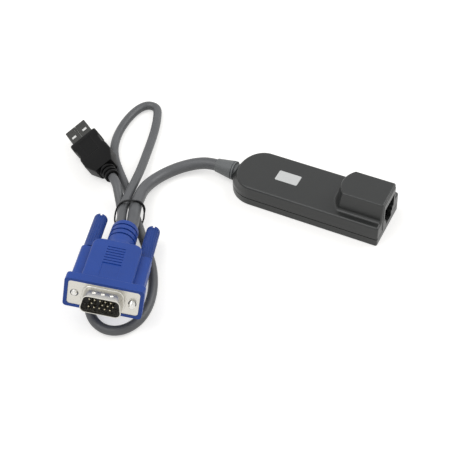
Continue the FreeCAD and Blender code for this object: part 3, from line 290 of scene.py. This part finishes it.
def brushed_metal(name, colour, roughness, along, streak_mm, metallic=1.0,
                  depth_mm=0.004):
    """Metal with fine parallel brushing along one direction."""
    material = new_finish(name, colour, roughness, metallic)
    vector = place(material, scale=along)
    streaks = noise(material, vector, 1.0 / (streak_mm * MM), 3.0)
    plug_in(material, "Base Color", mottle(material, spread(material, streaks, 0, 1),
                                           shade(colour, 0.93), shade(colour, 1.05)))
    plug_in(material, "Roughness", spread(material, streaks, roughness - 0.05,
                                          roughness + 0.07))
    plug_in(material, "Normal", relief_of(material, streaks, depth_mm * MM, 0.3))
    return material


dress("badge_plate", brushed_metal("badge_satin", BADGE_SILVER, roughness=0.42,
                                   along=(0.05, 1, 1), streak_mm=0.12, metallic=0.3))

# ---- Circuit board and its parts
# Green lacquered glass-epoxy board on the lower shell's posts, with black moulded chips,
# a steel crystal can, tan block capacitors and a white header, hidden by the shells.
BOARD_GREEN = (0.015, 0.12, 0.04)
CHIP_BLACK = (0.012, 0.012, 0.013)
CRYSTAL_STEEL = (0.6, 0.6, 0.58)
CAPACITOR_TAN = (0.33, 0.22, 0.12)
HEADER_NYLON = (0.7, 0.68, 0.6)
chip_finish = grained_plastic("chip_moulding", CHIP_BLACK, grain_mm=0.15, depth_mm=0.02,
                              roughness=0.5)
dress("circuit_board", grained_plastic("board_lacquer", BOARD_GREEN, grain_mm=0.4,
                                       depth_mm=0.01, roughness=0.3))
dress("controller_chip", chip_finish)
dress("video_buffer_chip", chip_finish)
dress("clock_crystal", brushed_metal("crystal_steel", CRYSTAL_STEEL, roughness=0.3,
                                     along=(1, 0.05, 1), streak_mm=0.1))
dress("board_capacitors", grained_plastic("capacitor_ceramic", CAPACITOR_TAN, grain_mm=0.2,
                                          depth_mm=0.01, roughness=0.35))
dress("wire_header", grained_plastic("header_nylon", HEADER_NYLON, grain_mm=0.3,
                                     depth_mm=0.01, roughness=0.4))

# ---- Network jack
# Black glass-filled nylon jack, soldered to the board behind the end wall, with eight
# gold-plated spring contacts.
JACK_BLACK = (0.012, 0.012, 0.013)
CONTACT_GOLD = (0.83, 0.6, 0.22)
contact_finish = brushed_metal("contact_gold", CONTACT_GOLD, roughness=0.22,
                               along=(0.1, 1, 1), streak_mm=0.1)
dress("network_jack", grained_plastic("jack_moulding", JACK_BLACK, grain_mm=0.2,
                                      depth_mm=0.01, roughness=0.32))
dress("jack_contacts", contact_finish)

# ---- Strain relief of the housing
# Soft grey vinyl sleeve moulded on the video cable and held in the nose of the two
# shells. It tapers down to the cable and is matt from the mould.
RELIEF_GREY = (0.12, 0.126, 0.128)
dress("housing_strain_relief", grained_plastic("relief_vinyl", RELIEF_GREY, grain_mm=0.35,
                                               depth_mm=0.02, roughness=0.5))

# ---- Cable tie
# Black twist tie: a vinyl strip moulded over two soft wires, wound once round the four
# runs of cable. The strip stands on edge, and lies flat for a short way where it was
# twisted.
TIE_CENTRE = Vector((-71.6, -47.8, 6.65)) * MM
TIE_TURN = math.radians(23.0)
TIE_LEAN = math.radians(30.0)
TIE_HALF_WIDE = 6.7 * MM
TIE_HALF_HIGH = 6.6 * MM
STRIP_WIDE = 1.7 * MM
STRIP_WEB = 0.7 * MM
STRIP_BEAD = 0.9 * MM
STRIP_SIDES, RING_STEPS = 20, 128
# Where the strip thickens over its wires, in shares of half its width
BEAD_FROM, BEAD_RUN = 0.35, 0.3
# The flat stretch, in degrees round the ring from its right-hand side
TWIST_FROM, TWIST_TO, TWIST_RUN = -4.0, 78.0, 26.0
TWIST_TURN = math.radians(48.0)
TWIST_SHIFT = 0.3 * MM
TIE_BLACK = (0.018, 0.018, 0.019)
# How far the strip bulges over each cable, at equal steps round the ring
TIE_BULGE = (1.0, 1.0, 1.11, 1.07, 1.0, 0.98, 1.02, 1.0, 1.0, 1.08, 1.30, 1.17, 0.99, 1.09,
             1.24, 1.05)


def eased(value):
    """Smooth step from 0 to 1."""
    value = min(max(value, 0.0), 1.0)
    return value * value * (3.0 - 2.0 * value)


def tie_bulge(angle):
    """The ring's bulge at an angle, rounded between its steps."""
    count = len(TIE_BULGE)
    step = angle / math.tau * count
    first = math.floor(step)
    part = step - first
    return ((1.0 - part) ** 2 / 2.0 * TIE_BULGE[first % count]
            + (0.5 + part - part ** 2) * TIE_BULGE[(first + 1) % count]
            + part ** 2 / 2.0 * TIE_BULGE[(first + 2) % count])


strip = bmesh.new()
section = bmesh.ops.create_circle(strip, segments=STRIP_SIDES, radius=1.0)["verts"]
for corner in section:
    edge_near = eased((abs(corner.co.y) - BEAD_FROM) / BEAD_RUN)
    thick = STRIP_WEB + (STRIP_BEAD - STRIP_WEB) * edge_near
    corner.co.x *= thick / 2.0
    corner.co.y *= STRIP_WIDE / 2.0
bmesh.ops.translate(strip, verts=strip.verts, vec=(TIE_HALF_WIDE, 0, 0))
bmesh.ops.spin(strip, geom=strip.edges[:] + strip.verts[:], cent=(0, 0, 0), axis=(0, 1, 0),
               dvec=(0, 0, 0), angle=math.tau, steps=RING_STEPS, use_merge=True)
for corner in strip.verts:
    angle = math.atan2(corner.co.z, corner.co.x) % math.tau
    proud = math.hypot(corner.co.x, corner.co.z) - TIE_HALF_WIDE
    degrees = (math.degrees(angle) + 90.0) % 360.0 - 90.0
    flat = (eased((degrees - TWIST_FROM) / TWIST_RUN)
            * eased((TWIST_TO - degrees) / TWIST_RUN))
    turn = flat * TWIST_TURN
    out = proud * math.cos(turn) - corner.co.y * math.sin(turn) + TWIST_SHIFT * flat
    aside = proud * math.sin(turn) + corner.co.y * math.cos(turn)
    bulge = tie_bulge(angle)
    corner.co = ((TIE_HALF_WIDE * bulge + out) * math.cos(angle), aside,
                 (TIE_HALF_HIGH * bulge + out) * math.sin(angle))
bmesh.ops.transform(strip, verts=strip.verts,
                    matrix=(Matrix.Translation(TIE_CENTRE) @ Matrix.Rotation(TIE_TURN, 4, "Z")
                            @ Matrix.Rotation(-TIE_LEAN, 4, "X")))


def finish_piece(name, shape, material, angle_deg=40.0):
    """Turn a bmesh into a smooth-shaded piece with creases at its sharp edges."""
    bmesh.ops.recalc_face_normals(shape, faces=shape.faces)
    for face in shape.faces:
        face.smooth = True
    for edge in shape.edges:
        if len(edge.link_faces) == 2:
            edge.smooth = edge.calc_face_angle() < math.radians(angle_deg)
    mesh = bpy.data.meshes.new(name)
    shape.to_mesh(mesh)
    shape.free()
    mesh.materials.append(material)
    piece = bpy.data.objects.new(name, mesh)
    bpy.context.scene.collection.objects.link(piece)
    return piece


tie_finish = grained_plastic("tie_vinyl", TIE_BLACK, grain_mm=0.2, depth_mm=0.01,
                             roughness=0.55, gloss=0.15)
twist_tie = finish_piece("twist_tie", strip, tie_finish)
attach(twist_tie, "adapter")
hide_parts("cable_tie")

# ---- Video plug
# Royal blue vinyl hood moulded over a pressed nickel-plated shell, with finger grips, a
# channel for each screw and a ringed tail. Gold-plated pins stand in a black insulator.
HOOD_BLUE = (0.013, 0.056, 0.295)
PLATE_NICKEL = (0.61, 0.595, 0.55)
INSULATOR_BLACK = (0.01, 0.01, 0.011)
# Painted shade: the pins' gold is much darker than the jack contacts' gold, for the shade deep
# inside the shroud.
PIN_GOLD_SHADED = (0.38, 0.345, 0.25)
nickel = brushed_metal("plated_nickel", PLATE_NICKEL, roughness=0.31, along=(1, 1, 1),
                       streak_mm=0.5, depth_mm=0.002)
dress("video_hood", grained_plastic("hood_plastic", HOOD_BLUE, grain_mm=0.3, depth_mm=0.02,
                                    roughness=0.42, edge_mm=0.4, edge_light=1.3,
                                    gloss=0.3))
dress("video_front_shell", nickel)
dress("video_rear_shell", nickel)
dress("video_insulator", grained_plastic("insulator_moulding", INSULATOR_BLACK,
                                         grain_mm=0.2, depth_mm=0.01, roughness=0.4))
dress("video_pins", brushed_metal("pin_gold", PIN_GOLD_SHADED, roughness=0.2, along=(1, 1, 1),
                                  streak_mm=0.2))

# ---- Thumbscrews
# Ribbed blue knobs moulded on nickel-plated steel screws that turn freely in the hood's
# side channels. The 4-40 thread is rolled on the front end only, behind a chamfered tip.
SCREW_R = 1.5 * MM
THREAD_PITCH = 25.4 / 40.0 * MM
THREAD_LENGTH = 6.0 * MM
THREAD_DEPTH = 0.32 * MM
THREAD_CREST_R = 1.42 * MM
TIP_CHAMFER, TIP_TAPER = 0.5 * MM, 0.7
SCREW_SIDES, RINGS_PER_PITCH = 28, 8
SCREW_NICKEL = (0.7, 0.69, 0.66)
KNOB_BLUE = (0.0075, 0.042, 0.225)
joints = {joint["name"]: joint for joint in frame["joints"]}


def threaded_screw(side, material):
    """One screw along its own turning axis, as long as the solid that it dresses."""
    hinge = joints[side + "_thumbscrew_turn"]
    shank = nodes[side + "_screw_shank"].data
    axis = Vector(hinge["axis"]).normalized()
    foot = Vector(hinge["pos_m"])
    along = [axis.dot(corner.co - foot) for corner in shank.vertices]
    length = max(along) - min(along)
    screw = bmesh.new()
    bmesh.ops.create_cone(screw, cap_ends=True, cap_tris=False, segments=SCREW_SIDES,
                          radius1=SCREW_R, radius2=SCREW_R, depth=length,
                          matrix=Matrix.Translation((0, 0, length / 2.0)))
    rings = round(THREAD_LENGTH / THREAD_PITCH * RINGS_PER_PITCH)
    for ring in range(1, rings + 1):
        bmesh.ops.bisect_plane(screw, geom=screw.verts[:] + screw.edges[:] + screw.faces[:],
                               plane_co=(0, 0, THREAD_LENGTH * ring / rings),
                               plane_no=(0, 0, 1))
    for corner in screw.verts:
        height = corner.co.z
        if height > THREAD_LENGTH - THREAD_PITCH / RINGS_PER_PITCH / 2.0:
            continue
        turn = height / THREAD_PITCH - math.atan2(corner.co.y, corner.co.x) / math.tau
        slope = abs(2.0 * (turn % 1.0) - 1.0)
        run_out = eased((THREAD_LENGTH - height) / THREAD_PITCH)
        crest = SCREW_R + (THREAD_CREST_R - SCREW_R) * run_out
        reach = crest - THREAD_DEPTH * eased(slope) * run_out
        reach -= TIP_TAPER * max(0.0, TIP_CHAMFER - height)
        corner.co.x *= reach / SCREW_R
        corner.co.y *= reach / SCREW_R
    bmesh.ops.transform(screw, verts=screw.verts,
                        matrix=(Matrix.Translation(foot + axis * min(along))
                                @ axis.to_track_quat("Z", "Y").to_matrix().to_4x4()))
    piece = finish_piece(side + "_thread_screw", screw, material)
    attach(piece, side + "_thumbscrew")
    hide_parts(side + "_screw_shank")
    return piece


knob_finish = grained_plastic("knob_plastic", KNOB_BLUE, grain_mm=0.3, depth_mm=0.02,
                              roughness=0.42, edge_mm=0.3, edge_light=1.3, gloss=0.3)
dress("left_screw_knob", knob_finish)
dress("right_screw_knob", knob_finish)
screw_finish = brushed_metal("screw_nickel", SCREW_NICKEL, roughness=0.25,
                             along=(1, 1, 1), streak_mm=0.3)
screws = [threaded_screw("left", screw_finish), threaded_screw("right", screw_finish)]

# ---- Usb plug
# A folded and locked sheet-steel shell round a white tongue with gilt pads. The black
# grip is moulded over shell and cable, scooped at the sides for the fingers, with a
# bare sunk panel on top and a ringed tail.
# Where the shell's tip lies, and how the plug is turned from there
USB_TIP = Vector((-127.4, -6.18, 5.8)) * MM
USB_HEADING, USB_DIP, USB_TILT = (math.radians(turn) for turn in (-124.66, 4.53, 22.9))
USB_FRAME = (Matrix.Translation(USB_TIP) @ Matrix.Rotation(USB_HEADING, 4, "Z")
             @ Matrix.Rotation(USB_DIP, 4, "X") @ Matrix.Rotation(USB_TILT, 4, "Y"))
GRIP_FRONT, GRIP_SHOULDER, GRIP_END = 11.9 * MM, 31.0 * MM, 38.2 * MM
GRIP_HALF_WIDE, GRIP_HALF_HIGH = 7.8 * MM, 3.95 * MM
GRIP_END_HALF_WIDE, GRIP_END_HALF_HIGH = 4.8 * MM, 3.6 * MM
GRIP_R = 1.1 * MM
GRIP_FRONT_R = 0.5 * MM
SCOOP_MIDDLE, SCOOP_HALF_LENGTH, SCOOP_DEPTH = 20.5 * MM, 4.6 * MM, 0.75 * MM
SCOOP_STEPS = 6
PANEL_HALF_WIDE, PANEL_FROM, PANEL_TO = 3.7 * MM, 14.2 * MM, 26.8 * MM
PANEL_SLOPE, PANEL_SINK = 0.35 * MM, 0.22 * MM
TAIL_CORE_R, TAIL_EDGE_R = 2.9 * MM, 0.1 * MM
TAIL_ROOT, TAIL_LENGTH = 1.0 * MM, 6.8 * MM
TAIL_RINGS = ((38.9, 3.9), (41.2, 3.7), (43.5, 3.5))
RING_WIDE, RING_EDGE_R = 1.5 * MM, 0.35 * MM
ROD_SIDES = 40
FACING_UP = 0.9
HAIR = 0.001 * MM
USB_BLACK = (0.0035, 0.0035, 0.0037)
USB_STEEL = (0.073, 0.073, 0.07)
TONGUE_WHITE = (0.85, 0.85, 0.83)


def across_at(shape, plane_co, plane_no):
    """Cut every face along a plane, so that the shape can bend there."""
    bmesh.ops.bisect_plane(shape, geom=shape.verts[:] + shape.edges[:] + shape.faces[:],
                           plane_co=plane_co, plane_no=plane_no)


def round_rod(shape, radius, start, length, edge_r):
    """A rod along the plug with rounded rims, beside what the shape already holds."""
    rod = bmesh.ops.create_cone(shape, cap_ends=True, cap_tris=False, segments=ROD_SIDES,
                                radius1=radius, radius2=radius, depth=length,
                                matrix=(Matrix.Translation((0, start + length / 2.0, 0))
                                        @ Matrix.Rotation(math.pi / 2.0, 4, "X")))
    corners = set(rod["verts"])
    rims = [edge for edge in shape.edges if corners.issuperset(edge.verts)
            and abs(edge.verts[0].co.y - edge.verts[1].co.y) < HAIR]
    bmesh.ops.bevel(shape, geom=rims, offset=edge_r, offset_type="OFFSET", affect="EDGES",
                    segments=3, profile=0.5, material=-1)


grip = bmesh.new()
bmesh.ops.create_cube(grip, size=2.0)
for corner in grip.verts:
    corner.co.x *= GRIP_HALF_WIDE
    corner.co.z *= GRIP_HALF_HIGH
    corner.co.y = GRIP_FRONT if corner.co.y < 0 else GRIP_END
long_edges = [edge for edge in grip.edges
              if abs(edge.verts[0].co.y - edge.verts[1].co.y) > GRIP_R]
bmesh.ops.bevel(grip, geom=long_edges, offset=GRIP_R, offset_type="OFFSET", affect="EDGES",
                segments=5, profile=0.5, material=-1)
for step in range(-SCOOP_STEPS, SCOOP_STEPS + 1):
    across_at(grip, (0, SCOOP_MIDDLE + SCOOP_HALF_LENGTH * step / SCOOP_STEPS, 0),
              (0, 1, 0))
for bend in (GRIP_SHOULDER, PANEL_FROM, PANEL_TO):
    across_at(grip, (0, bend, 0), (0, 1, 0))
for side in (-1, 1):
    across_at(grip, (side * PANEL_HALF_WIDE, 0, 0), (1, 0, 0))
front_rim = [edge for edge in grip.edges
             if all(abs(corner.co.y - GRIP_FRONT) < HAIR for corner in edge.verts)
             and len(edge.link_faces) == 2
             and edge.calc_face_angle() > math.radians(57.3)]
bmesh.ops.bevel(grip, geom=front_rim, offset=GRIP_FRONT_R, offset_type="OFFSET",
                affect="EDGES", segments=3, profile=0.5, material=-1)
for corner in grip.verts:
    if corner.co.y > GRIP_SHOULDER:
        part = (corner.co.y - GRIP_SHOULDER) / (GRIP_END - GRIP_SHOULDER)
        corner.co.x *= 1.0 + (GRIP_END_HALF_WIDE / GRIP_HALF_WIDE - 1.0) * part
        corner.co.z *= 1.0 + (GRIP_END_HALF_HIGH / GRIP_HALF_HIGH - 1.0) * part
    away = abs(corner.co.y - SCOOP_MIDDLE) / SCOOP_HALF_LENGTH
    if away < 1.0 and abs(corner.co.x) > PANEL_HALF_WIDE + GRIP_R:
        corner.co.x -= math.copysign(SCOOP_DEPTH * eased((1.0 - away) * 2.0), corner.co.x)
sunk = [face for face in grip.faces if face.normal.z > FACING_UP
        and abs(face.calc_center_median().x) < PANEL_HALF_WIDE
        and PANEL_FROM < face.calc_center_median().y < PANEL_TO]
bmesh.ops.inset_region(grip, faces=sunk, thickness=PANEL_SLOPE, depth=-PANEL_SINK,
                       use_even_offset=True)
round_rod(grip, TAIL_CORE_R, GRIP_END - TAIL_ROOT, TAIL_ROOT + TAIL_LENGTH, TAIL_EDGE_R)
for start, radius in TAIL_RINGS:
    round_rod(grip, radius * MM, start * MM, RING_WIDE, RING_EDGE_R)
bmesh.ops.transform(grip, verts=grip.verts, matrix=USB_FRAME)
grip_finish = grained_plastic("usb_moulding", USB_BLACK, grain_mm=0.3, depth_mm=0.03,
                              roughness=0.45, gloss=0.12)
usb_grip = finish_piece("usb_grip", grip, grip_finish, angle_deg=30.0)
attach(usb_grip, "adapter")
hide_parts("usb_overmould")
dress("usb_shell", brushed_metal("usb_steel", USB_STEEL, roughness=0.3, along=(1, 1, 1),
                                 streak_mm=2.0, depth_mm=0.001))
dress("usb_tongue", grained_plastic("tongue_nylon", TONGUE_WHITE, grain_mm=0.3,
                                    depth_mm=0.01, roughness=0.4))
dress("usb_contacts", contact_finish)

# ---- Table and room
# White seamless table in a plain white room, under two square softboxes. The table
# looks a little brighter than the light that it throws back on the adapter.
TABLE_WHITE = (0.68, 0.67, 0.65)
TABLE_HALF_WIDE_M = 3.0
TABLE_DROP = 0.05 * MM
TABLE_GLOW, TABLE_GLOW_FAR = 0.53, 0.82
GLOW_NEAR_M, GLOW_FAR_M = 0.3, 1.3
ROOM_LIGHT = 0.48
SOFTBOX_AIM = Vector((-0.04, -0.03, 0.0))


def see_white(holder, strength):
    """A strength that counts only for what the camera, gloss or glass sees."""
    path = add_node(holder, "LightPath").outputs
    seen = add_node(holder, "Math", {0: path["Is Camera Ray"], 1: path["Is Glossy Ray"]},
                    operation="ADD", use_clamp=True).outputs[0]
    seen = add_node(holder, "Math", {0: seen, 1: path["Is Transmission Ray"]},
                    operation="ADD", use_clamp=True).outputs[0]
    return add_node(holder, "Math", {0: seen, 1: strength}, operation="MULTIPLY").outputs[0]


table_finish = bpy.data.materials.new("table_white")
table_finish.use_nodes = True
table_finish.node_tree.nodes.clear()
paint = add_node(table_finish, "BsdfDiffuse", {"Color": (*TABLE_WHITE, 1.0)})
spot = add_node(table_finish, "TexCoord").outputs["Object"]
away = add_node(table_finish, "VectorMath", {0: spot}, operation="LENGTH").outputs["Value"]
lift = add_node(table_finish, "Math", {
    0: spread(table_finish, away, TABLE_GLOW, TABLE_GLOW_FAR, GLOW_NEAR_M, GLOW_FAR_M),
    1: see_white(table_finish, 1.0)}, operation="MULTIPLY").outputs[0]
glow = add_node(table_finish, "Emission", {"Strength": lift})
both = add_node(table_finish, "AddShader", {0: paint.outputs[0], 1: glow.outputs[0]})
add_node(table_finish, "OutputMaterial", {"Surface": both.outputs[0]})
top = bmesh.new()
bmesh.ops.create_grid(top, x_segments=1, y_segments=1, size=TABLE_HALF_WIDE_M,
                      matrix=Matrix.Translation((0, 0, -TABLE_DROP)))
table_mesh = bpy.data.meshes.new("table")
top.to_mesh(table_mesh)
top.free()
table_mesh.materials.append(table_finish)
table = bpy.data.objects.new("table", table_mesh)
bpy.context.scene.collection.objects.link(table)

room = bpy.data.worlds.new("white_room")
room.use_nodes = True
bpy.context.scene.world = room
walls = room.node_tree.nodes["Background"]
walls.inputs["Color"].default_value = (1.0, 1.0, 1.0, 1.0)
level = add_node(room, "Math", {0: see_white(room, 1.0 - ROOM_LIGHT), 1: ROOM_LIGHT},
                 operation="ADD").outputs[0]
room.node_tree.links.new(level, walls.inputs["Strength"])


def softbox(name, stand, wide, power):
    """A square diffused lamp that looks at the adapter."""
    data = bpy.data.lights.new(name, "AREA")
    data.shape = "SQUARE"
    data.size = wide
    data.energy = power
    lamp = bpy.data.objects.new(name, data)
    bpy.context.scene.collection.objects.link(lamp)
    lamp.location = stand
    lamp.rotation_euler = (SOFTBOX_AIM - Vector(stand)).to_track_quat("-Z", "Y").to_euler()


softbox("key_softbox", stand=(0.55, 0.55, 0.75), wide=0.7, power=4.5)
softbox("top_softbox", stand=(-0.4, -0.42, 1.05), wide=0.9, power=5.6)

bpy.context.scene.view_settings.view_transform = "Standard"
